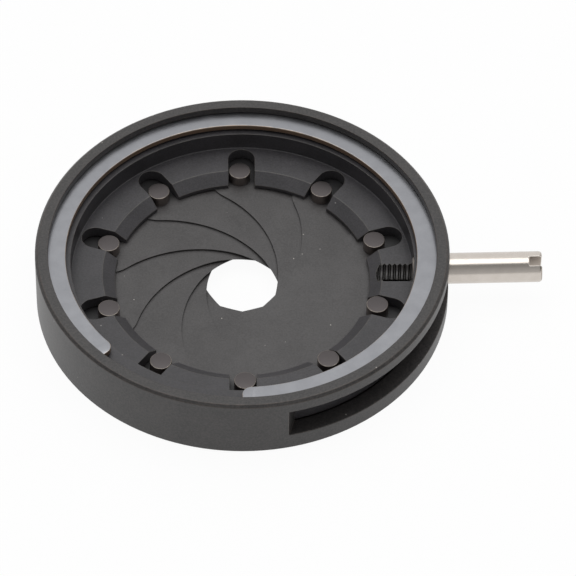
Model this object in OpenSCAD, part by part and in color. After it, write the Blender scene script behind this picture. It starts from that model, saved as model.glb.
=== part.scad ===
// Iris diaphragm: ten thin leaves between a housing and a turning ring.
// +Z is the optical axis, z = 0 is the rear face of the housing, and the
// lever points along +X. The leaves are drawn partly closed.

/* [Housing] */
// Thickness of the wall around the bore
wall_t = 1.7; // [1.5:0.05:4]
// Thickness of the floor that carries the leaf pivots
floor_t = 0.6; // [0.5:0.05:1]
// Diameter of the rear opening
rear_opening_d = 24.4; // [22:0.1:25]
// Step from the bore out to the recess in front of the retaining ring
rim_step_t = 0.45; // [0.4:0.05:0.7]
// Height of the rim in front of the retaining ring
rim_h = 0.75; // [0.5:0.05:1.5]
// Bevel on the outer edges of the housing
edge_bevel = 0.25; // [0.1:0.05:0.4]

/* [Retaining ring] */
// Thickness of the retaining ring
snap_t = 0.6; // [0.5:0.05:0.8]
// Width of the retaining ring
snap_w = 2.17; // [1.8:0.01:2.3]
// Depth of its groove beyond the bore
groove_depth = 1; // [0.8:0.05:1.2]
// Azimuth where its gap begins
snap_gap_from = -135.5; // [-140:0.5:-125]
// Azimuth where its gap ends
snap_gap_to = -90; // [-100:0.5:-85]
// Corner radius of its ends
snap_corner_r = 0.9; // [0.3:0.05:1]
// Distance that the sprung ring sits off centre in its groove
snap_offset = 0.14; // [0:0.01:0.2]
// Azimuth of the side that it leans to
snap_offset_angle = 135; // [0:5:360]

/* [Driving ring] */
// Thickness of the flat plate of the ring
plate_t = 1.2; // [1:0.05:1.5]
// Inner diameter of the plate
plate_inner_d = 24.7; // [24.5:0.1:25.5]
// Width of the bevel on the inner edge of the plate
plate_bevel_w = 1.2; // [0.8:0.05:1.4]
// Height of the plain land below that bevel
plate_land_h = 0.37; // [0.2:0.01:0.6]
// Height of the raised lip above the plate
lip_h = 1.95; // [1.85:0.05:2.2]
// Thickness of the lip
lip_t = 1.62; // [1.4:0.01:1.7]
// Fillet at the foot of the lip
lip_fillet = 0.1; // [0.05:0.01:0.15]
// Width of plate left between the drive slots and the lip
slot_edge_w = 0.25; // [0.2:0.05:0.35]
// Play of a slider pin across its slot
slot_play = 0.48; // [0.47:0.01:0.6]

/* [Lever] */
// Diameter of the lever
lever_d = 3; // [2.5:0.1:3]
// Length of the lever outside the housing
lever_length = 9; // [6:0.5:20]
// Height of the lever's axis above the plate
lever_axis_h = 0.45; // [0.3:0.05:0.5]
// Outer diameter of the lever's thread
thread_d = 2.5; // [2:0.1:2.5]
// Pitch of the lever's thread
thread_pitch = 0.5; // [0.4:0.05:0.6]
// Depth of the lever's thread
thread_depth = 0.24; // [0.15:0.01:0.26]
// Width of a groove of that thread
thread_groove_w = 0.34; // [0.2:0.01:0.4]
// Length of tapped plate inside the lip
thread_run_length = 3.6; // [2.1:0.1:3.8]
// Width of the screwdriver slot
driver_slot_w = 0.95; // [0.6:0.05:1.1]
// Depth of the screwdriver slot
driver_slot_depth = 1.25; // [0.8:0.05:2]
// Turn of the screwdriver slot from upright
driver_slot_angle = 19; // [0:1:90]
// Tilt of the lever, which stands loose in its thread
lever_tilt_angle = 1.5; // [0:0.1:1.8]
// Rounding of the lever's tip
tip_r = 0.3; // [0.1:0.05:0.4]

/* [Travel] */
// Turn of the ring from fully open to the drawn position
turn_from_open = 68; // [60:0.5:75]
// Turn of the ring from the drawn position to fully closed
turn_to_closed = 18; // [5:0.5:18]
// Turn of a leaf for each degree of the ring
leaf_ratio = 0.494; // [0.492:0.001:0.496]
// Clearance of the lever in the slot of the wall
wall_slot_play = 0.15; // [0.1:0.05:0.3]
// Angle left between the lever and each end of that slot
wall_slot_spare_angle = 4.9; // [2:0.1:6]
// Slant of the slot's end walls away from radial
wall_slot_slant_angle = 30; // [0:1:40]

/* [Leaves] */
// Thickness of a leaf
leaf_t = 0.08; // [0.05:0.01:0.09]
// Width of a leaf
leaf_w = 5.7; // [5.4:0.1:5.8]
// Radius of the pivot circle and of each leaf's middle line
pivot_r = 14.75; // [14.6:0.05:15]
// Angle between a leaf's two pins about the centre of its arc
leaf_span = 138.5; // [137.5:0.5:139]
// Angle by which the slot trails the slider pin when open
slot_lag = -0.5; // [-0.55:0.05:-0.45]
// Room between the leaves and the wall at their pivots
leaf_room_w = 0.7; // [0.6:0.05:1]
// Rise of a leaf from its pivot end to its slider end
leaf_rise_h = 1.31; // [1.25:0.01:1.4]
// Distance from the middle line of a leaf to the centre of its ramp
ramp_depth = 4.5; // [4.2:0.05:4.8]
// Ramp angle beyond which the ends of a leaf lie flat
ramp_angle = 116; // [112:1:118]

/* [Pins] */
// Diameter of a slider pin
slider_d = 2.1; // [1.8:0.05:2.2]
// Depth of a slider pin's top below the plate's face
slider_depth = 0.12; // [0.05:0.01:0.4]
// Depth of a pivot pin's end inside the rear face
pivot_depth = 0.05; // [0.02:0.01:0.2]
// Diameter of the rivet under a slider pin
rivet_d = 1; // [0.8:0.05:1.2]
// Diameter of a pivot pin
pivot_d = 1.2; // [1:0.05:1.4]
// Bevel on the top edge of a slider pin
pin_bevel = 0.06; // [0.02:0.01:0.1]

/* [Clearances] */
// Vertical clearance on each side of the stack of leaves
stack_play = 0.03; // [0.02:0.005:0.05]
// Radial clearance of the ring in its bore
ring_play = 0.08; // [0.05:0.01:0.1]
// Vertical clearance between the lip and the retaining ring
lip_play = 0.2; // [0.1:0.05:0.3]
// Clearance of the retaining ring in its groove
snap_play = 0.04; // [0.02:0.01:0.06]
// Radial clearance of a pivot pin in its hole
pivot_play = 0.04; // [0.02:0.01:0.08]
// Radial clearance of the lever's thread
thread_play = 0.03; // [0.03:0.01:0.05]
// Clearance between the lever's shoulder and the ring
lever_play = 0.06; // [0.05:0.01:0.1]

/* [Hidden] */
leaf_count = 10;
pitch = 360 / leaf_count;
// The drive slots lie evenly on both sides of the lever.
first_slot = pitch / 2;

// Heights, from the rear face upwards
stack_z = floor_t + stack_play;
plate_z = stack_z + leaf_t + leaf_rise_h + stack_play;
plate_top = plate_z + plate_t;
lip_top = plate_top + lip_h;
snap_z = lip_top + lip_play;
groove_z = snap_z - snap_play / 2;
groove_top = snap_z + snap_t + snap_play / 2;
housing_h = groove_top + rim_h;
lever_z = plate_top + lever_axis_h;

// Radii, from the circle of pivots outwards
bore_r = pivot_r + leaf_w / 2 + leaf_room_w;
rim_bore_r = bore_r + rim_step_t;
groove_r = bore_r + groove_depth;
housing_r = bore_r + wall_t;
ring_r = bore_r - ring_play;
lip_r = ring_r - lip_t;
slot_end_r = lip_r - slot_edge_w;
snap_outer_r = groove_r - snap_play - snap_offset;
snap_inner_r = snap_outer_r - snap_w;
plate_inner_r = plate_inner_d / 2;
plate_bevel_r = plate_inner_r + plate_bevel_w;
lever_tip_r = housing_r + lever_length;
ramp_x = pivot_r - ramp_depth;
slider_r = slider_d / 2;
slot_w = slider_d + slot_play;

// Turn of the leaves from open to the drawn position, and where their
// pivots then stand so that the slider pins are in the slots
leaf_turn = turn_from_open * leaf_ratio;
first_pivot = first_slot - leaf_span - slot_lag - turn_from_open;

function numbered(name, i) = str(name, i < 9 ? "_0" : "_", i + 1);

function polar(r, a) = [r * cos(a), r * sin(a)];

// ---- Housing ----

// Half of the angle that the lever takes up at the bore
lever_half_angle = asin(lever_d / 2 / bore_r);
wall_slot_from = -turn_from_open - lever_half_angle - wall_slot_spare_angle;
wall_slot_to = turn_to_closed + lever_half_angle + wall_slot_spare_angle;
// The cutter of the wall slot reaches past both faces of the wall.
wall_cut_inner_r = bore_r - 1.2;
wall_cut_outer_r = housing_r + 1.5;

module wall_slot() {
    // Angle that a slanted end wall has moved by at a given radius
    function swing(r) = atan((r - housing_r) * tan(wall_slot_slant_angle) / r);
    // Place at a given radius, from 0 at the first end of the slot to 1
    function place(r, t) =
        polar(r, wall_slot_from + (wall_slot_to - wall_slot_from) * t + swing(r) * (2 * t - 1));
    steps = 24;
    outer = [for (i = [0:steps]) place(wall_cut_outer_r, i / steps)];
    inner = [for (i = [steps:-1:0]) place(wall_cut_inner_r, i / steps)];
    h = lever_d + 2 * wall_slot_play;
    translate([0, 0, lever_z - h / 2])
        linear_extrude(h) polygon(concat(outer, inner));
}

module housing() {
    wall = [
        [rear_opening_d / 2, 0],
        [housing_r - edge_bevel, 0],
        [housing_r, edge_bevel],
        [housing_r, housing_h - edge_bevel],
        [housing_r - edge_bevel, housing_h],
        [rim_bore_r, housing_h],
        [rim_bore_r, groove_top],
        [groove_r, groove_top],
        [groove_r, groove_z],
        [bore_r, groove_z],
        [bore_r, floor_t],
        [rear_opening_d / 2, floor_t]
    ];
    color("#37373a")
    difference() {
        rotate_extrude($fn = 180) polygon(wall);
        wall_slot();
        for (i = [0:leaf_count - 1])
            at_pivot(i)
                translate([0, 0, -floor_t / 2])
                    cylinder(h = 2 * floor_t, r = pivot_d / 2 + pivot_play, $fn = 32);
    }
}

// ---- Retaining ring ----

module retaining_ring() {
    mid_r = (snap_outer_r + snap_inner_r) / 2;
    half_w = (snap_outer_r - snap_inner_r) / 2;
    // Angle that the round corners of an end take up
    corner_angle = asin(snap_corner_r / mid_r);
    from = snap_gap_to + corner_angle;
    sweep = 360 + snap_gap_from - snap_gap_to - 2 * corner_angle;
    color("#a9adb6")
    translate(concat(polar(snap_offset, snap_offset_angle), [snap_z])) {
        rotate([0, 0, from])
            rotate_extrude(angle = sweep, $fn = 180)
                translate([mid_r - half_w, 0]) square([2 * half_w, snap_t]);
        for (a = [from, from + sweep])
            rotate([0, 0, a])
                snap_end(mid_r, half_w, a == from ? -1 : 1);
    }
}

// End of the retaining ring with round corners, turned to the side given
module snap_end(mid_r, half_w, side) {
    // A narrow shoulder is left where a corner meets each side.
    corner_x = half_w - snap_corner_r - 0.02;
    linear_extrude(snap_t) {
        for (s = [-1, 1])
            translate([mid_r + s * corner_x, 0]) circle(snap_corner_r, $fn = 32);
        translate([mid_r - corner_x, side > 0 ? 0 : -snap_corner_r])
            square([2 * corner_x, snap_corner_r]);
    }
}

// ---- Driving ring ----

module driving_ring() {
    foot = [for (a = [0:15:90])
        [lip_r - lip_fillet * (1 - sin(a)), plate_top + lip_fillet * (1 - cos(a))]];
    profile = concat(
        [
            [ring_r, plate_z],
            [ring_r, lip_top],
            [lip_r, lip_top]
        ],
        [for (i = [len(foot) - 1:-1:0]) foot[i]],
        [
            [plate_bevel_r, plate_top],
            [plate_inner_r, plate_z + plate_land_h],
            [plate_inner_r, plate_z]
        ]
    );
    color("#4a4a4e")
    difference() {
        rotate_extrude($fn = 180) polygon(profile);
        for (i = [0:leaf_count - 1])
            rotate([0, 0, first_slot + i * pitch]) drive_slot();
        lever_thread();
        // The hole starts just inside the lip, where the end of the lever stands.
        translate([lip_r - 0.2, 0, lever_z])
            rotate([0, 90, 0])
                cylinder(h = ring_r - lip_r + 1.2, d = thread_d + 2 * thread_play, $fn = 48);
    }
}

// Radial slot with a round outer end, open at the inner edge of the plate
module drive_slot() {
    start_x = plate_inner_r - slot_w;
    end_x = slot_end_r - slot_w / 2;
    h = plate_t + 1;
    translate([0, 0, plate_z - 0.5]) {
        translate([start_x, -slot_w / 2, 0]) cube([end_x - start_x, slot_w, h]);
        translate([end_x, 0, 0]) cylinder(h = h, d = slot_w, $fn = 48);
    }
}

// Grooves that the tap of the lever's thread leaves in the plate, each a ring
// that leans by the lead of the thread
module lever_thread() {
    // Each cutter is a double cone, as wide as the groove where it meets the core.
    cone_h = thread_groove_w / 2 * (thread_d / 2) / thread_depth;
    lead = atan(thread_pitch / (PI * thread_d));
    translate([lip_r, 0, lever_z]) {
        rotate([0, -90, 0])
            cylinder(h = thread_run_length, r = thread_d / 2 - thread_depth, $fn = 64);
        for (i = [1:floor(thread_run_length / thread_pitch)])
            translate([(0.3 - i) * thread_pitch, 0, 0])
                rotate([0, 90, -lead])
                    rotate_extrude($fn = 64)
                        polygon([[0, -cone_h], [thread_d / 2, 0], [0, cone_h]]);
    }
}

// ---- Lever ----

module lever() {
    // The inner end of the thread stands level with the inside of the lip.
    inner_x = lip_r - 0.1;
    shoulder_x = ring_r + lever_play;
    // The lever tilts about the middle of its thread in the lip.
    seat_x = (lip_r + ring_r) / 2;
    round_tip = [for (a = [0:15:90])
        [lever_d / 2 - tip_r * (1 - cos(a)), lever_tip_r - tip_r * (1 - sin(a))]];
    profile = concat(
        [
            [0, inner_x],
            [thread_d / 2 - 0.2, inner_x],
            [thread_d / 2, inner_x + 0.2],
            [thread_d / 2, shoulder_x],
            [lever_d / 2 - 0.1, shoulder_x],
            [lever_d / 2, shoulder_x + 0.1]
        ],
        round_tip,
        [[0, lever_tip_r]]
    );
    color("#c9c5c0")
    translate([seat_x, 0, lever_z])
    rotate([0, -lever_tilt_angle, 0])
    translate([-seat_x, 0, 0])
    rotate([driver_slot_angle, 0, 0])
    difference() {
        rotate([0, 90, 0]) rotate_extrude($fn = 64) polygon(profile);
        translate([lever_tip_r - driver_slot_depth, -driver_slot_w / 2, -lever_d])
            cube([driver_slot_depth + 1, driver_slot_w, 2 * lever_d]);
    }
}

// ---- Leaves and their pins ----

// Moves to the pivot of a leaf, on the rear face
module at_pivot(i) {
    rotate([0, 0, first_pivot + i * pitch]) translate([pivot_r, 0, 0]) children();
}

// Moves to a leaf's own frame, with the centre of its arc at the origin, its
// pivot end at minus half the span and its slider end at plus half the span
module at_leaf(i) {
    at_pivot(i)
        rotate([0, 0, leaf_span / 2 + leaf_turn])
            translate(-concat(polar(pivot_r, -leaf_span / 2), [0]))
                children();
}

// Height of a leaf's underside: a spiral ramp about a centre on the leaf's
// hollow side, which keeps every leaf clear of the next at any opening
function ramp(p) = let (a = atan2(p[1], p[0] - ramp_x))
    stack_z + leaf_rise_h * (min(max(a, -ramp_angle), ramp_angle) + ramp_angle) / (2 * ramp_angle);

pivot_seat_z = ramp(polar(pivot_r, -leaf_span / 2));
slider_seat_z = ramp(polar(pivot_r, leaf_span / 2));

module leaf(i) {
    half_w = leaf_w / 2;
    arc_steps = 30;
    // Each cross line is [angle along the arc, distance past the pin, half width].
    end_turns = [78, 60, 42, 22];
    lines = concat(
        [for (t = end_turns) [-leaf_span / 2, -half_w * sin(t), half_w * cos(t)]],
        [for (k = [0:arc_steps]) [leaf_span * (k / arc_steps - 0.5), 0, half_w]],
        [for (k = [len(end_turns) - 1:-1:0]) let (t = end_turns[k])
            [leaf_span / 2, half_w * sin(t), half_w * cos(t)]]
    );
    // Places across a leaf, closer together at the hollow edge where it is steepest
    across = [-1, -0.75, -0.4, 0.2, 1];
    n = len(across);
    top = [for (l = lines) for (s = across) let (
            p = polar(pivot_r + s * l[2], l[0]) + polar(l[1], l[0] + 90)
        ) [p[0], p[1], ramp(p) + leaf_t]];
    bottom = [for (p = top) [p[0], p[1], p[2] - leaf_t]];
    m = len(top);
    rows = len(lines);
    cells = [for (r = [0:rows - 2]) for (c = [0:n - 2]) r * n + c];
    faces = concat(
        [for (k = cells) each [[k, k + n, k + n + 1], [k, k + n + 1, k + 1]]],
        [for (k = cells) each [[m + k, m + k + n + 1, m + k + n], [m + k, m + k + 1, m + k + n + 1]]],
        [for (r = [0:rows - 2]) let (a = r * n, b = a + n) each
            [[a, m + a, m + b], [a, m + b, b]]],
        [for (r = [0:rows - 2]) let (a = r * n + n - 1, b = a + n) each
            [[a, m + b, m + a], [a, b, m + b]]],
        [for (c = [0:n - 2]) each [[c, c + 1, m + c + 1], [c, m + c + 1, m + c]]],
        [for (c = [0:n - 2]) let (a = m - n + c) each
            [[a, m + a + 1, a + 1], [a, m + a, m + a + 1]]]
    );
    color("#3f3d3c")
    at_leaf(i) polyhedron(concat(top, bottom), faces);
}

// Headed rivet that stands in a slot of the driving ring
module slider_pin(i) {
    seat = slider_seat_z + leaf_t;
    top = plate_top - slider_depth;
    profile = [
        [0, slider_seat_z],
        [rivet_d / 2, slider_seat_z],
        [rivet_d / 2, seat],
        [slider_r, seat],
        [slider_r, top - pin_bevel],
        [slider_r - pin_bevel, top],
        [0, top]
    ];
    color("#5b544e")
    at_leaf(i)
        translate(concat(polar(pivot_r, leaf_span / 2), [0]))
            rotate_extrude($fn = 48) polygon(profile);
}

// Plain rivet that turns in a hole of the housing's floor
module pivot_pin(i) {
    color("#5b544e")
    at_pivot(i)
        translate([0, 0, pivot_depth])
            cylinder(h = pivot_seat_z + leaf_t / 2 - pivot_depth, d = pivot_d, $fn = 32);
}

housing();
driving_ring();
lever();
retaining_ring();
for (i = [0:leaf_count - 1]) {
    leaf(i);
    slider_pin(i);
    pivot_pin(i);
}
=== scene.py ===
import math

import bmesh
import bpy
import numpy as np
from mathutils import Matrix, Vector


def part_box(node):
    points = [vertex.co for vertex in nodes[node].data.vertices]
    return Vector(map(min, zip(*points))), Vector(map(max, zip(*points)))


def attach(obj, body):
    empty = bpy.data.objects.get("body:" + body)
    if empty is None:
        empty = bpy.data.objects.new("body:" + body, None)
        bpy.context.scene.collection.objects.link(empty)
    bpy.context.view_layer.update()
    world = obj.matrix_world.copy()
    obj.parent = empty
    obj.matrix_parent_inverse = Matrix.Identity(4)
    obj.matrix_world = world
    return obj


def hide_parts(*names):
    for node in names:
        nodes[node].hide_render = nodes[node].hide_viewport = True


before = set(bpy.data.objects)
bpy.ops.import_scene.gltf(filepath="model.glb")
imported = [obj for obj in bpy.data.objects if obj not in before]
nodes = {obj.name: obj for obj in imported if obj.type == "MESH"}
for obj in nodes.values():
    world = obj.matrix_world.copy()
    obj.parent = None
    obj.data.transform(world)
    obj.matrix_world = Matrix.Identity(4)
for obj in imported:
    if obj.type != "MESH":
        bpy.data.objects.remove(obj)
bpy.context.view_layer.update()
leafCount = sum(name.startswith("leaf_") for name in nodes)
mm = 0.001  # sizes below are in mm and angles in degrees, and the scene is in metres
print("frame loaded:", len(nodes), "nodes")

# Camera: its place, the way it looks, its right hand, and its lens and sensor
camera = {"place": (-2.571, -313.016, 354.077), "ahead": (0.01487, 0.66328, -0.74822),
          "right": (0.99988, -0.01233, 0.00894), "lens": 303.2, "sensor": 36.0,
          "near": 0.01, "far": 10}


def addCamera():
    ahead = Vector(camera["ahead"]).normalized()
    right = Vector(camera["right"])
    right = (right - ahead * right.dot(ahead)).normalized()
    up = right.cross(ahead)
    data = bpy.data.cameras.new("camera")
    data.lens = camera["lens"]
    data.sensor_width = camera["sensor"]
    data.clip_start, data.clip_end = camera["near"], camera["far"]
    item = bpy.data.objects.new("camera", data)
    turn = Matrix((right, up, -ahead)).transposed().to_4x4()
    item.matrix_world = Matrix.Translation(Vector(camera["place"]) * mm) @ turn
    bpy.context.scene.collection.objects.link(item)
    bpy.context.scene.camera = item


addCamera()
print("camera placed")


# Colour from an sRGB hex value to the linear values that nodes take: the sRGB
# curve is a straight line near black and a power of 2.4 above it.
def linear(hexValue):
    parts = np.array([int(hexValue[i:i + 2], 16) for i in (1, 3, 5)]) / 255
    low, high = parts / 12.92, ((parts + 0.055) / 1.055) ** 2.4
    return tuple(np.where(parts <= 0.04045, low, high)) + (1.0,)


# Adds one node: inputs are values or sockets, settings are its own fields
def addNode(tree, kind, inputs=None, **settings):
    node = tree.nodes.new(kind)
    for field, value in settings.items():
        setattr(node, field, value)
    for key, value in (inputs or {}).items():
        if isinstance(value, bpy.types.NodeSocket):
            tree.links.new(value, node.inputs[key])
        else:
            node.inputs[key].default_value = value
    return node


# A material with its tree, its shader and the object's own coordinates
def startMaterial(name, **values):
    made = bpy.data.materials.new(name)
    made.use_nodes = True
    tree = made.node_tree
    shader = tree.nodes["Principled BSDF"]
    for field, value in values.items():
        shader.inputs[field.replace("_", " ")].default_value = value
    where = addNode(tree, "ShaderNodeTexCoord").outputs["Object"]
    return made, tree, shader, where


# The lever's axis in mm: a point of it, and how far it stands up from level
leverAxis = {"at": (17.41, 0.0, 3.7), "tilt": 1.5}


# Distance from the lever's axis: the length of (point - place) x direction
def fromLeverAxis(tree, where):
    tilt = math.radians(leverAxis["tilt"])
    place = addNode(tree, "ShaderNodeVectorMath", {0: where,
                    1: tuple(value * mm for value in leverAxis["at"])}, operation="SUBTRACT")
    cross = addNode(tree, "ShaderNodeVectorMath", {0: place.outputs[0],
                    1: (math.cos(tilt), 0, math.sin(tilt))}, operation="CROSS_PRODUCT")
    return addNode(tree, "ShaderNodeVectorMath", {0: cross.outputs[0]},
                   operation="LENGTH").outputs["Value"]


# White paper, rolled smooth: a flat matt sheet that shows white and still takes
# a shadow. It lies just under the part. Its size is in metres.
floorLook = {"colour": "#fafafa", "selfLit": 0.95, "size": 4.0, "drop": 0.02}


def addFloor():
    made, tree, shader = startMaterial("whitePaper")[:3]
    tree.nodes.remove(shader)
    path = addNode(tree, "ShaderNodeLightPath")
    seen = addNode(tree, "ShaderNodeMath", {0: path.outputs["Is Camera Ray"],
                   1: path.outputs["Is Glossy Ray"]}, operation="ADD")
    seen = addNode(tree, "ShaderNodeMath", {0: seen.outputs[0],
                   1: path.outputs["Is Transmission Ray"]}, operation="ADD", use_clamp=True)
    share = addNode(tree, "ShaderNodeMath", {0: seen.outputs[0], 1: floorLook["selfLit"]},
                    operation="MULTIPLY")
    paper = addNode(tree, "ShaderNodeBsdfDiffuse", {"Color": linear(floorLook["colour"])})
    glow = addNode(tree, "ShaderNodeEmission", {"Strength": 1.0})
    mix = addNode(tree, "ShaderNodeMixShader", {0: share.outputs[0], 1: paper.outputs[0],
                  2: glow.outputs[0]})
    tree.links.new(mix.outputs[0], tree.nodes["Material Output"].inputs["Surface"])
    half = floorLook["size"] / 2
    z = -floorLook["drop"] * mm
    mesh = bpy.data.meshes.new("floor")
    mesh.from_pydata([(-half, -half, z), (half, -half, z), (half, half, z), (-half, half, z)],
                     [], [(0, 1, 2, 3)])
    mesh.materials.append(made)
    item = bpy.data.objects.new("floor", mesh)
    bpy.context.scene.collection.objects.link(item)


# The world is a plain tent. Its level follows the direction's place along an
# axis that leans back: pale behind and overhead, dark high up on the camera's
# side, and paler again down to the horizon. It is darker to the left and right.
# One large soft lamp hangs above. Its place and size are in metres.
worldLook = {"lean": 16.0, "sideFrom": 0.25, "sideTo": 0.95, "side": 0.3,
             "levels": ((0.0, 0.62), (0.12, 0.52), (0.3, 0.38), (0.42, 0.25),
                        (0.475, 0.22), (0.525, 1.0), (1.0, 1.0))}
lampLook = {"place": (0.0, 0.13, 0.75), "size": (0.9, 0.55), "power": 2.0}


def addLight():
    world = bpy.data.worlds.new("tent")
    bpy.context.scene.world = world
    world.use_nodes = True
    tree = world.node_tree
    lean = math.radians(worldLook["lean"])
    where = addNode(tree, "ShaderNodeTexCoord").outputs["Generated"]
    place = addNode(tree, "ShaderNodeVectorMath", {0: where,
                    1: (0.0, math.cos(lean) / 2, math.sin(lean) / 2)}, operation="DOT_PRODUCT")
    place = addNode(tree, "ShaderNodeMath", {0: place.outputs["Value"], 1: 0.5})
    ramp = addNode(tree, "ShaderNodeValToRGB", {0: place.outputs[0]})
    stops = ramp.color_ramp.elements
    for number, (at, level) in enumerate(worldLook["levels"]):
        stop = stops[0] if number == 0 else stops.new(at)
        stop.position, stop.color = at, (level, level, level, 1)
    across = addNode(tree, "ShaderNodeSeparateXYZ", {0: where}).outputs["X"]
    across = addNode(tree, "ShaderNodeMath", {0: across}, operation="ABSOLUTE")
    side = addNode(tree, "ShaderNodeMapRange", {"Value": across.outputs[0],
                   "From Min": worldLook["sideFrom"], "From Max": worldLook["sideTo"],
                   "To Min": 1.0, "To Max": worldLook["side"]}, interpolation_type="SMOOTHSTEP")
    back = tree.nodes["Background"]
    tree.links.new(ramp.outputs[0], back.inputs["Color"])
    tree.links.new(side.outputs[0], back.inputs["Strength"])
    data = bpy.data.lights.new("softbox", "AREA")
    data.shape = "RECTANGLE"
    data.size, data.size_y = lampLook["size"]
    data.energy = lampLook["power"]
    item = bpy.data.objects.new("softbox", data)
    item.location = lampLook["place"]
    bpy.context.scene.collection.objects.link(item)


addFloor()
addLight()
bpy.context.scene.view_settings.view_transform = "Standard"
print("floor and light set")


# Black anodised aluminium, bead-blasted: an even dark grey with a soft broad
# shine and a fine grain. The bead marks of about 0.05 mm are drawn at 0.2 mm.
# A little dust lies on it. "Contrast" is the part of the noise that the two
# tones are spread over.
bodyLook = {"dark": "#302f2f", "light": "#464342", "dust": "#b4b0aa", "patch": 2.5,
            "grain": 0.2, "grainDepth": 0.012, "speckle": 0.7, "roughness": 0.42,
            "dustCell": 2.1, "dustSize": 0.07, "contrast": (0.36, 0.64)}
# On its deburred edges the black dye is thinner, so they are a little warmer.
edgeLook = dict(bodyLook, dark="#343130", light="#4b4440", patch=0.9, grainDepth=0.009,
                speckle=0.5, roughness=0.38)
# The driving ring has the same finish over turned faces, so faint tool marks
# run round it. The feed of about 0.05 mm is drawn at 0.12 mm. On the steep sides
# of the thread grooves round the lever's axis the colour is darkened: painted
# shade. The roughness is lower there too.
ringLook = {"dark": "#333234", "light": "#444245", "dust": "#aaa7a3", "patch": 3.5,
            "grain": 0.16, "grainDepth": 0.008, "speckle": 0.55, "roughness": 0.4,
            "dustCell": 2.6, "dustSize": 0.07, "contrast": (0.36, 0.64), "feed": 0.12,
            "feedDepth": 0.0016, "grooveShade": "#101011", "grooveRoughness": 0.16,
            "threadRadius": 1.27, "threadFrom": 13.0, "steep": (0.7, 0.78)}
# Its deburred edges are paler too, and greyer than the housing's.
ringEdgeLook = {"dark": "#3b3939", "light": "#53504d", "dust": "#aaa7a3", "patch": 0.7,
                "grain": 0.1, "grainDepth": 0.003, "speckle": 0.4, "roughness": 0.36,
                "dustCell": 2.6, "dustSize": 0.07, "contrast": (0.36, 0.64)}
# Spring-steel leaf, blanked from thin strip and blackened with a dry matt coat:
# nearly even, with slight smears where the leaves have rubbed and some dust. The
# coat's grain of about 0.03 mm is drawn at 0.16 mm. Under the driving ring, beyond
# a given radius, the colour is darkened: painted shade.
leafLook = {"dark": "#3f3d3d", "light": "#504e4e", "dust": "#c0bcb5", "patch": 3.0,
            "grain": 0.16, "grainDepth": 0.008, "speckle": 0.55, "roughness": 0.43,
            "dustCell": 1.7, "dustSize": 0.07, "contrast": (0.36, 0.64),
            "underRingShade": "#1e1d1e", "underRingShadeFrom": 12.5, "underRingShadeTo": 13.3}


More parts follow.
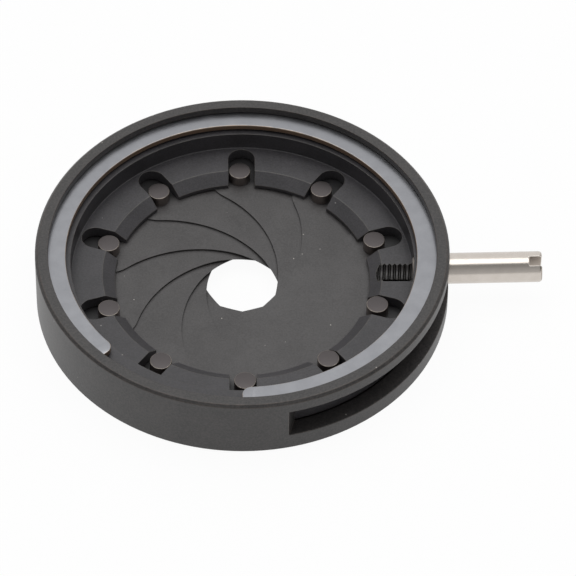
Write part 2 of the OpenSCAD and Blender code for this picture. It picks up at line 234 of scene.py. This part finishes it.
def blackFinish(name, look):
    made, tree, shader, where = startMaterial(name, Roughness=look["roughness"])
    patch = addNode(tree, "ShaderNodeTexNoise", {"Vector": where,
                    "Scale": 1 / (look["patch"] * mm), "Detail": 4.0, "Roughness": 0.6})
    grain = addNode(tree, "ShaderNodeTexNoise", {"Vector": where,
                    "Scale": 1 / (look["grain"] * mm), "Detail": 2.0})
    share = addNode(tree, "ShaderNodeMix", {0: look["speckle"], 2: patch.outputs["Fac"],
                    3: grain.outputs["Fac"]})
    share = addNode(tree, "ShaderNodeMapRange", {"Value": share.outputs[0],
                    "From Min": look["contrast"][0], "From Max": look["contrast"][1]})
    tone = addNode(tree, "ShaderNodeMix", {0: share.outputs[0], 6: linear(look["dark"]),
                   7: linear(look["light"])}, data_type="RGBA")
    # Dust: a small ball round some points of a random lattice
    cell = addNode(tree, "ShaderNodeTexVoronoi", {"Vector": where,
                   "Scale": 1 / (look["dustCell"] * mm)})
    speck = addNode(tree, "ShaderNodeMath", {0: cell.outputs["Distance"],
                    1: look["dustSize"] / look["dustCell"]}, operation="LESS_THAN")
    lucky = addNode(tree, "ShaderNodeSeparateColor", {0: cell.outputs["Color"]}).outputs[0]
    speck = addNode(tree, "ShaderNodeMath", {0: speck.outputs[0], 1: lucky}, operation="MULTIPLY")
    dusty = addNode(tree, "ShaderNodeMix", {0: speck.outputs[0], 6: tone.outputs[2],
                    7: linear(look["dust"])}, data_type="RGBA")
    colour = dusty.outputs[2]
    flat = addNode(tree, "ShaderNodeVectorMath", {0: where, 1: (1, 1, 0)}, operation="MULTIPLY")
    radius = addNode(tree, "ShaderNodeVectorMath", {0: flat.outputs[0]}, operation="LENGTH")
    # Painted shade: the leaf's colour darkens beyond a radius, under the driving ring.
    if "underRingShade" in look:
        share = addNode(tree, "ShaderNodeMapRange", {"Value": radius.outputs["Value"],
                        "From Min": look["underRingShadeFrom"] * mm, "From Max": look["underRingShadeTo"] * mm})
        colour = addNode(tree, "ShaderNodeMix", {0: share.outputs[0], 6: colour,
                         7: linear(look["underRingShade"])}, data_type="RGBA").outputs[2]
    # Painted shade: the steep sides of the thread grooves round the lever's axis are darkened,
    # and given a lower roughness.
    if "grooveShade" in look:
        inside = addNode(tree, "ShaderNodeMath", {0: fromLeverAxis(tree, where),
                         1: look["threadRadius"] * mm}, operation="LESS_THAN")
        beyond = addNode(tree, "ShaderNodeSeparateXYZ", {0: where}).outputs["X"]
        beyond = addNode(tree, "ShaderNodeMath", {0: beyond, 1: look["threadFrom"] * mm},
                         operation="GREATER_THAN")
        inside = addNode(tree, "ShaderNodeMath", {0: inside.outputs[0], 1: beyond.outputs[0]},
                         operation="MULTIPLY")
        normal = addNode(tree, "ShaderNodeNewGeometry").outputs["True Normal"]
        along = addNode(tree, "ShaderNodeSeparateXYZ", {0: normal}).outputs["X"]
        along = addNode(tree, "ShaderNodeMath", {0: along}, operation="ABSOLUTE")
        steep = addNode(tree, "ShaderNodeMapRange", {"Value": along.outputs[0],
                        "From Min": look["steep"][0], "From Max": look["steep"][1]})
        share = addNode(tree, "ShaderNodeMath", {0: inside.outputs[0], 1: steep.outputs[0]},
                        operation="MULTIPLY")
        colour = addNode(tree, "ShaderNodeMix", {0: share.outputs[0], 6: colour,
                         7: linear(look["grooveShade"])}, data_type="RGBA").outputs[2]
        shine = addNode(tree, "ShaderNodeMapRange", {"Value": share.outputs[0],
                        "To Min": look["roughness"], "To Max": look["grooveRoughness"]})
        tree.links.new(shine.outputs[0], shader.inputs["Roughness"])
    tree.links.new(colour, shader.inputs["Base Color"])
    bump = addNode(tree, "ShaderNodeBump", {"Height": grain.outputs["Fac"],
                   "Distance": look["grainDepth"] * mm})
    if "feed" in look:
        marks = addNode(tree, "ShaderNodeTexNoise", {"W": radius.outputs["Value"],
                        "Scale": 1 / (look["feed"] * mm), "Detail": 1.0}, noise_dimensions="1D")
        bump = addNode(tree, "ShaderNodeBump", {"Height": marks.outputs["Fac"],
                       "Distance": look["feedDepth"] * mm, "Normal": bump.outputs[0]})
    tree.links.new(bump.outputs[0], shader.inputs["Normal"])
    return made


# Spring-steel strip, blanked, tumbled and phosphated: a cool mid grey, cloudy
# and faintly scratched. The sheared sides are brown. The upward-leaning edges are
# bright in patches: partly where the coat has rubbed off, partly a painted
# highlight. Tumbling leaves short scratches that lie one way: those of about
# 0.01 mm are drawn at 0.06 mm. The ranges are for how far a face looks up, from
# side to top and from top to edge, and for the rubbing noise.
clipLook = {"dark": "#86878b", "light": "#9b9ca0", "side": "#6e5a4a", "edge": "#dcc6ae",
            "patch": 1.4, "scratch": 0.06, "stretch": 14.0, "scratchDepth": 0.0009,
            "scratchTurn": 35, "roughness": 0.31, "spread": 0.08, "toTop": (0.1, 0.4),
            "toEdge": (0.98, 0.8), "rub": (0.35, 0.6), "rubLeast": 0.2}


def phosphatedSteel(look):
    made, tree, shader, where = startMaterial("phosphatedSpringSteel")
    patch = addNode(tree, "ShaderNodeTexNoise", {"Vector": where,
                    "Scale": 1 / (look["patch"] * mm), "Detail": 5.0, "Roughness": 0.65})
    tone = addNode(tree, "ShaderNodeMix", {0: patch.outputs["Fac"], 6: linear(look["dark"]),
                   7: linear(look["light"])}, data_type="RGBA")
    normal = addNode(tree, "ShaderNodeNewGeometry").outputs["Normal"]
    upright = addNode(tree, "ShaderNodeSeparateXYZ", {0: normal}).outputs["Z"]
    level = addNode(tree, "ShaderNodeMapRange", {"Value": upright,
                    "From Min": look["toTop"][0], "From Max": look["toTop"][1]})
    leaning = addNode(tree, "ShaderNodeMapRange", {"Value": upright,
                      "From Min": look["toEdge"][0], "From Max": look["toEdge"][1]})
    edge = addNode(tree, "ShaderNodeMath", {0: level.outputs[0], 1: leaning.outputs[0]},
                   operation="MULTIPLY")
    rubbed = addNode(tree, "ShaderNodeMapRange", {"Value": patch.outputs["Fac"],
                     "From Min": look["rub"][0], "From Max": look["rub"][1],
                     "To Min": look["rubLeast"]})
    share = addNode(tree, "ShaderNodeMath", {0: edge.outputs[0], 1: rubbed.outputs[0]},
                    operation="MULTIPLY")
    tree.links.new(level.outputs[0], shader.inputs["Metallic"])
    face = addNode(tree, "ShaderNodeMix", {0: level.outputs[0], 6: linear(look["side"]),
                   7: tone.outputs[2]}, data_type="RGBA")
    # Partly rubbed wear, partly painted highlight: upward-leaning edges lightened in patches.
    wearAndPaintedHighlight = addNode(tree, "ShaderNodeMix", {0: share.outputs[0], 6: face.outputs[2],
                   7: linear(look["edge"])}, data_type="RGBA")
    tree.links.new(wearAndPaintedHighlight.outputs[2], shader.inputs["Base Color"])
    rough = addNode(tree, "ShaderNodeMapRange", {"Value": patch.outputs["Fac"],
                    "To Min": look["roughness"] - look["spread"],
                    "To Max": look["roughness"] + look["spread"]})
    tree.links.new(rough.outputs[0], shader.inputs["Roughness"])
    turned = addNode(tree, "ShaderNodeMapping", {"Vector": where,
                     "Rotation": (0, 0, math.radians(look["scratchTurn"])),
                     "Scale": (1, 1 / look["stretch"], 1)})
    lines = addNode(tree, "ShaderNodeTexNoise", {"Vector": turned.outputs[0],
                    "Scale": 1 / (look["scratch"] * mm), "Detail": 2.0})
    bump = addNode(tree, "ShaderNodeBump", {"Height": lines.outputs["Fac"],
                   "Distance": look["scratchDepth"] * mm})
    tree.links.new(bump.outputs[0], shader.inputs["Normal"])
    return made


# Stainless bar, centreless ground: bright and slightly warm, with fine grinding
# lines round it. Lines of about 0.02 mm are drawn at 0.07 mm. Cut faces, nearer
# the axis than the cut radius, are rougher, and at the tip browner too.
leverLook = {"colour": "#d4cdc6", "dull": "#c3bbb3", "cut": "#b3a99f", "line": 0.07,
             "lineDepth": 0.0006, "stretch": 25.0, "patch": 1.2, "roughness": 0.22,
             "spread": (0.05, 0.07), "cutRadius": 1.42, "cutFrom": 26.0,
             "cutRoughness": 0.5}
# Its edges are coloured brighter: partly burnished wear, partly a painted highlight.
leverEdgeWearAndHighlightLook = dict(leverLook, colour="#f2ece6", dull="#ded6ce", cut="#e8e1da", roughness=0.3)


def groundStainless(name, look):
    made, tree, shader, where = startMaterial(name, Metallic=1.0)
    patch = addNode(tree, "ShaderNodeTexNoise", {"Vector": where,
                    "Scale": 1 / (look["patch"] * mm), "Detail": 4.0})
    tone = addNode(tree, "ShaderNodeMix", {0: patch.outputs["Fac"], 6: linear(look["colour"]),
                   7: linear(look["dull"])}, data_type="RGBA")
    cut = addNode(tree, "ShaderNodeMath", {0: fromLeverAxis(tree, where),
                  1: look["cutRadius"] * mm}, operation="LESS_THAN")
    along = addNode(tree, "ShaderNodeSeparateXYZ", {0: where}).outputs["X"]
    outer = addNode(tree, "ShaderNodeMath", {0: along, 1: look["cutFrom"] * mm},
                    operation="GREATER_THAN")
    milled = addNode(tree, "ShaderNodeMath", {0: cut.outputs[0], 1: outer.outputs[0]},
                     operation="MULTIPLY")
    tone = addNode(tree, "ShaderNodeMix", {0: milled.outputs[0], 6: tone.outputs[2],
                   7: linear(look["cut"])}, data_type="RGBA")
    tree.links.new(tone.outputs[2], shader.inputs["Base Color"])
    rough = addNode(tree, "ShaderNodeMapRange", {"Value": patch.outputs["Fac"],
                    "To Min": look["roughness"] - look["spread"][0],
                    "To Max": look["roughness"] + look["spread"][1]})
    rough = addNode(tree, "ShaderNodeMix", {0: cut.outputs[0], 2: rough.outputs[0],
                    3: look["cutRoughness"]})
    tree.links.new(rough.outputs[0], shader.inputs["Roughness"])
    drawn = addNode(tree, "ShaderNodeMapping", {"Vector": where,
                    "Scale": (1, 1 / look["stretch"], 1 / look["stretch"])})
    lines = addNode(tree, "ShaderNodeTexNoise", {"Vector": drawn.outputs[0],
                    "Scale": 1 / (look["line"] * mm), "Detail": 2.0})
    bump = addNode(tree, "ShaderNodeBump", {"Height": lines.outputs["Fac"],
                   "Distance": look["lineDepth"] * mm})
    tree.links.new(bump.outputs[0], shader.inputs["Normal"])
    return made


# Steel rivet, turned and chemically blackened: a dark warm grey metal with a
# fine grain. Its upright sides take a much lighter colour than its top: painted
# light. Its upward-leaning edge is lighter in rubbed patches: partly wear, partly
# a painted highlight. The grain of about 0.03 mm is drawn at 0.08 mm. The ranges
# are as for the retaining ring.
pinLook = {"top": "#565252", "side": "#948b87", "edge": "#a39a90", "patch": 0.5,
           "grain": 0.08, "grainDepth": 0.003, "roughness": 0.4, "toTop": (0.6, 0.95),
           "fromSide": (0.15, 0.5), "toEdge": (0.995, 0.93), "rub": (0.35, 0.6),
           "rubLeast": 0.3}


def blackenedRivet(look):
    made, tree, shader, where = startMaterial("blackenedRivet", Metallic=1.0,
                                              Roughness=look["roughness"])
    normal = addNode(tree, "ShaderNodeNewGeometry").outputs["Normal"]
    upright = addNode(tree, "ShaderNodeSeparateXYZ", {0: normal}).outputs["Z"]
    top = addNode(tree, "ShaderNodeMapRange", {"Value": upright,
                  "From Min": look["toTop"][0], "From Max": look["toTop"][1]})
    rise = addNode(tree, "ShaderNodeMapRange", {"Value": upright,
                   "From Min": look["fromSide"][0], "From Max": look["fromSide"][1]})
    fall = addNode(tree, "ShaderNodeMapRange", {"Value": upright,
                   "From Min": look["toEdge"][0], "From Max": look["toEdge"][1]})
    edge = addNode(tree, "ShaderNodeMath", {0: rise.outputs[0], 1: fall.outputs[0]},
                   operation="MULTIPLY")
    patch = addNode(tree, "ShaderNodeTexNoise", {"Vector": where,
                    "Scale": 1 / (look["patch"] * mm), "Detail": 4.0})
    rubbed = addNode(tree, "ShaderNodeMapRange", {"Value": patch.outputs["Fac"],
                     "From Min": look["rub"][0], "From Max": look["rub"][1],
                     "To Min": look["rubLeast"]})
    share = addNode(tree, "ShaderNodeMath", {0: edge.outputs[0], 1: rubbed.outputs[0]},
                    operation="MULTIPLY")
    # Painted light: the upright sides take a lighter colour than the top.
    tone = addNode(tree, "ShaderNodeMix", {0: top.outputs[0], 6: linear(look["side"]),
                   7: linear(look["top"])}, data_type="RGBA")
    # Partly rubbed wear, partly painted highlight: the upward-leaning edge is lightened in
    # patches.
    wearAndPaintedHighlight = addNode(tree, "ShaderNodeMix", {0: share.outputs[0], 6: tone.outputs[2],
                   7: linear(look["edge"])}, data_type="RGBA")
    tree.links.new(wearAndPaintedHighlight.outputs[2], shader.inputs["Base Color"])
    grain = addNode(tree, "ShaderNodeTexNoise", {"Vector": where,
                    "Scale": 1 / (look["grain"] * mm), "Detail": 2.0})
    bump = addNode(tree, "ShaderNodeBump", {"Height": grain.outputs["Fac"],
                   "Distance": look["grainDepth"] * mm})
    tree.links.new(bump.outputs[0], shader.inputs["Normal"])
    return made


bodyFinishes = [blackFinish("blackAnodisedBlasted", bodyLook),
                blackFinish("wornAnodisedEdge", edgeLook)]
ringFinishes = [blackFinish("blackAnodisedTurned", ringLook),
                blackFinish("deburredAnodisedEdge", ringEdgeLook)]
leafFinish = blackFinish("blackenedSpringSteel", leafLook)
clipFinish = phosphatedSteel(clipLook)
leverFinishes = [groundStainless("groundStainless", leverLook),
                 groundStainless("burnishedStainlessEdgeAndPaintedHighlight", leverEdgeWearAndHighlightLook)]
pinFinish = blackenedRivet(pinLook)
print("materials made")


# Faces of a closed tube of grid points: point (u, v) joins (u + 1, v),
# (u + 1, v + 1) and (u, v + 1). In the direction that runs round, the last
# points join the first. Each end of the other direction is one flat face.
def tubeFaces(rows, columns, rowsRunRound):
    index = np.arange(rows * columns).reshape(rows, columns)
    ends = index[:, [0, -1]].T if rowsRunRound else index[[0, -1]]
    if rowsRunRound:
        index = np.vstack((index, index[:1]))
    else:
        index = np.hstack((index, index[:, :1]))
    corners = (index[:-1, :-1], index[1:, :-1], index[1:, 1:], index[:-1, 1:])
    return np.stack(corners, -1).reshape(-1, 4).tolist() + ends.tolist()


# Points that are nearer than this are one point. In metres.
samePoint = 1e-7


# Makes a closed piece from its points in mm and their faces, gives it its finish
# and puts it on its body in place of the CAD node. Edges sharper than the angle
# in its dictionary stay crisp.
def addPiece(name, points, faces, finish, body, node, sharp):
    mesh = bpy.data.meshes.new(name)
    mesh.from_pydata(points.reshape(-1, 3) * mm, [], faces)
    mesh.materials.append(finish)
    work = bmesh.new()
    work.from_mesh(mesh)
    bmesh.ops.remove_doubles(work, verts=work.verts, dist=samePoint)
    bmesh.ops.recalc_face_normals(work, faces=work.faces)
    work.to_mesh(mesh)
    work.free()
    placePiece(name, mesh, body, node, sharp)


def placePiece(name, mesh, body, node, sharp):
    mesh.polygons.foreach_set("use_smooth", np.ones(len(mesh.polygons), bool))
    mesh.set_sharp_from_angle(angle=math.radians(sharp))
    item = bpy.data.objects.new(name, mesh)
    bpy.context.scene.collection.objects.link(item)
    item.modifiers.new("weighted", "WEIGHTED_NORMAL").keep_sharp = True
    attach(item, body)
    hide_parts(node)
    return item


# Rounds the inner corners of an open outline. Each corner becomes an arc that
# touches both of its sides. Its centre lies on the corner's bisector. A point at
# the share t of its sweep is the centre and a blend of the two radii to the
# sides: (sin((1 - t) sweep) first + sin(t sweep) last) / sin(sweep).
def roundCorners(outline, radius, steps=4):
    outline = np.array(outline, float)
    corner = outline[1:-1]
    back, on = outline[:-2] - corner, outline[2:] - corner
    back /= np.linalg.norm(back, axis=1)[:, None]
    on /= np.linalg.norm(on, axis=1)[:, None]
    half = np.arccos(np.clip((back * on).sum(1), -1, 1))[:, None] / 2
    bisector = back + on
    bisector /= np.linalg.norm(bisector, axis=1)[:, None]
    centre = corner + bisector * radius / np.sin(half)
    first = corner + back * radius / np.tan(half) - centre
    last = corner + on * radius / np.tan(half) - centre
    sweep = (np.pi - 2 * half)[:, None]
    part = np.linspace(0, 1, steps + 1)[None, :, None]
    arcs = centre[:, None] + (np.sin((1 - part) * sweep) * first[:, None]
                              + np.sin(part * sweep) * last[:, None]) / np.sin(sweep)
    return np.vstack((outline[:1], arcs.reshape(-1, 2), outline[-1:]))


# Slider pins: headed rivets. A point is the outline's radius turned about the
# pin's own upright axis: (x + r cos a, y + r sin a, z). The place and the height
# are the CAD node's, and the flat top closes at a tiny radius, the hub.
sliderPin = {"shank": 0.5, "head": 1.05, "seat": 0.08, "edge": 0.07, "hub": 0.01,
             "sides": 64, "sharp": 35}


def addSliderPin(number):
    node = "slider_pin_%02d" % number
    low, high = (np.array(corner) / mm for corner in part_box(node))
    middle = (low + high) / 2
    look = sliderPin
    seat, top = low[2] + look["seat"], high[2]
    outline = roundCorners([(look["shank"], low[2]), (look["shank"], seat), (look["head"], seat),
                            (look["head"], top), (look["hub"], top)], look["edge"])
    angle = np.linspace(0, 2 * np.pi, look["sides"], endpoint=False)[:, None]
    radius, height = outline[:, 0][None], outline[:, 1][None]
    points = np.stack((middle[0] + radius * np.cos(angle), middle[1] + radius * np.sin(angle),
                       height + 0 * angle), -1)
    addPiece("sliderPin%02d" % number, points, tubeFaces(*points.shape[:2], True), pinFinish,
             "leaf_%02d_body" % number, node, look["sharp"])


# Leaves: thin arcs with round ends. A cross line stands at an angle a of the
# arc, t past the end of it, and is w wide on each side; a point of it is
# (R + s w) along a plus t across a. Its height is a spiral ramp about a centre
# on the hollow side: z = low + rise (angle + limit) / (2 limit). The arc is then
# turned about its pivot end, and carried round the axis to its own pivot. The
# lowest and highest places are the CAD node's. Places across follow a power of
# the step, so they are closest at the hollow edge, where the ramp is steepest.
leafShape = {"radius": 14.75, "half": 2.85, "span": 138.5, "thick": 0.08,
             "rampCentre": 10.25, "rampLimit": 116.0, "pivotAngle": -188.0,
             "turn": 33.592, "arcSteps": 96, "endSteps": 12, "endFrom": 88, "endTo": 8,
             "across": 14, "crowding": 1.5, "sharp": 35}


def addLeaf(number):
    node = "leaf_%02d" % number
    low, high = (corner[2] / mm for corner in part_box(node))
    look = leafShape
    half, span, radius = look["half"], look["span"], look["radius"]
    turns = np.radians(np.linspace(look["endFrom"], look["endTo"], look["endSteps"]))
    arc = np.linspace(-span / 2, span / 2, look["arcSteps"])
    angle = np.concatenate((np.full(len(turns), -span / 2), arc, np.full(len(turns), span / 2)))
    past = np.concatenate((-half * np.sin(turns), 0 * arc, half * np.sin(turns[::-1])))
    width = np.concatenate((half * np.cos(turns), 0 * arc + half, half * np.cos(turns[::-1])))
    place = 2 * np.linspace(0, 1, look["across"]) ** look["crowding"] - 1
    side = np.concatenate((place, place[::-1]))
    lift = np.concatenate((np.full(len(place), look["thick"]), np.zeros(len(place))))
    along = np.exp(1j * np.radians(angle))[:, None]
    flat = (radius + side[None] * width[:, None]) * along + 1j * past[:, None] * along
    bearing = np.degrees(np.angle(flat - look["rampCentre"]))
    limit, rise = look["rampLimit"], high - low - look["thick"]
    height = low + rise * (np.clip(bearing, -limit, limit) + limit) / (2 * limit)
    start = radius * np.exp(-1j * math.radians(span / 2))
    swung = (flat - start) * np.exp(1j * math.radians(span / 2 + look["turn"])) + radius
    swung *= np.exp(1j * math.radians(look["pivotAngle"] + (number - 1) * 360 / leafCount))
    points = np.stack((swung.real, swung.imag, height + lift[None]), -1)
    addPiece("leafBlade%02d" % number, points, tubeFaces(*points.shape[:2], False), leafFinish,
             "leaf_%02d_body" % number, node, look["sharp"])


# Retaining ring: a flat open ring. Its cross lines are laid as a leaf's are, and
# its section is a rectangle whose corners are arcs of the edge's radius. At an
# end the half width is x + sqrt(c c - t t), for corners of radius c. The lower
# and upper faces are the CAD node's.
clipShape = {"outer": 19.12, "inner": 16.95, "gapTo": -90.0, "gapFrom": -135.5,
             "corner": 0.9, "edge": 0.09, "offset": 0.14, "lean": 135.0, "arcSteps": 260,
             "endSteps": 14, "endFrom": 90, "endTo": 6, "edgeSteps": 4, "sharp": 50}


def addClip():
    node = "retaining_ring"
    low, high = (corner[2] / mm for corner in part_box(node))
    look = clipShape
    middle = (look["outer"] + look["inner"]) / 2
    half = (look["outer"] - look["inner"]) / 2
    corner, edge = look["corner"], look["edge"]
    spare = math.degrees(math.asin(corner / middle))
    arc = np.linspace(look["gapTo"] + spare, 360 + look["gapFrom"] - spare, look["arcSteps"])
    turns = np.radians(np.linspace(look["endFrom"], look["endTo"], look["endSteps"]))
    angle = np.concatenate((np.full(len(turns), arc[0]), arc, np.full(len(turns), arc[-1])))
    past = np.concatenate((-corner * np.sin(turns), 0 * arc, corner * np.sin(turns[::-1])))
    ends = half - corner + corner * np.cos(turns)
    width = np.concatenate((ends, 0 * arc + half, ends[::-1]))
    bend = np.radians(np.linspace(0, 90, look["edgeSteps"] + 1))
    bend = np.concatenate([bend + quarter * np.pi / 2 for quarter in range(4)])
    outward = np.repeat([1, -1, -1, 1], look["edgeSteps"] + 1)
    upward = np.repeat([1, 1, -1, -1], look["edgeSteps"] + 1)
    reach = outward[None] * (width[:, None] - edge) + edge * np.cos(bend)[None]
    height = upward * ((high - low) / 2 - edge) + edge * np.sin(bend)
    along = np.exp(1j * np.radians(angle))[:, None]
    flat = (middle + reach) * along + 1j * past[:, None] * along
    flat += look["offset"] * np.exp(1j * math.radians(look["lean"]))
    level = (low + high) / 2 + height[None] + 0 * reach
    points = np.stack((flat.real, flat.imag, level), -1)
    addPiece("retainingClip", points, tubeFaces(*points.shape[:2], False), clipFinish,
             "housing_body", node, look["sharp"])


# Turned and milled pieces keep the CAD form, and every sharp edge of it gets the
# small round that deburring leaves, in the last of its finishes. Faces that turn
# by less than the angle "flat" are one face.
edgeRounds = {"housing": 0.08, "driving_ring": 0.05, "lever": 0.07, "steps": 2,
              "sharp": 30, "flat": 0.3}


def addRounded(node, name, finishes, body):
    work = bmesh.new()
    work.from_mesh(nodes[node].data)
    bmesh.ops.remove_doubles(work, verts=work.verts, dist=samePoint)
    bmesh.ops.dissolve_limit(work, angle_limit=math.radians(edgeRounds["flat"]),
                             verts=work.verts, edges=work.edges)
    mesh = bpy.data.meshes.new(name)
    work.to_mesh(mesh)
    work.free()
    if "custom_normal" in mesh.attributes:
        mesh.attributes.remove(mesh.attributes["custom_normal"])
    mesh.materials.clear()
    for finish in finishes:
        mesh.materials.append(finish)
    item = placePiece(name, mesh, body, node, edgeRounds["sharp"])
    rounding = item.modifiers.new("rounding", "BEVEL")
    rounding.width = edgeRounds[node] * mm
    rounding.segments = edgeRounds["steps"]
    rounding.angle_limit = math.radians(edgeRounds["sharp"])
    rounding.use_clamp_overlap = False
    rounding.harden_normals = True
    rounding.miter_outer = "MITER_ARC"
    rounding.material = len(finishes) - 1
    item.modifiers.move(1, 0)


# Pivot pins stay the CAD's own, and only get their finish
def dress(node, finish):
    nodes[node].data.materials.clear()
    nodes[node].data.materials.append(finish)


addRounded("housing", "housingBody", bodyFinishes, "housing_body")
addRounded("driving_ring", "drivingRing", ringFinishes, "ring_body")
addRounded("lever", "leverBar", leverFinishes, "ring_body")
addClip()
print("housing, rings and lever made")
for number in range(1, leafCount + 1):
    addLeaf(number)
    addSliderPin(number)
    dress("pivot_pin_%02d" % number, pinFinish)
print("leaves and pins made")

print("done")
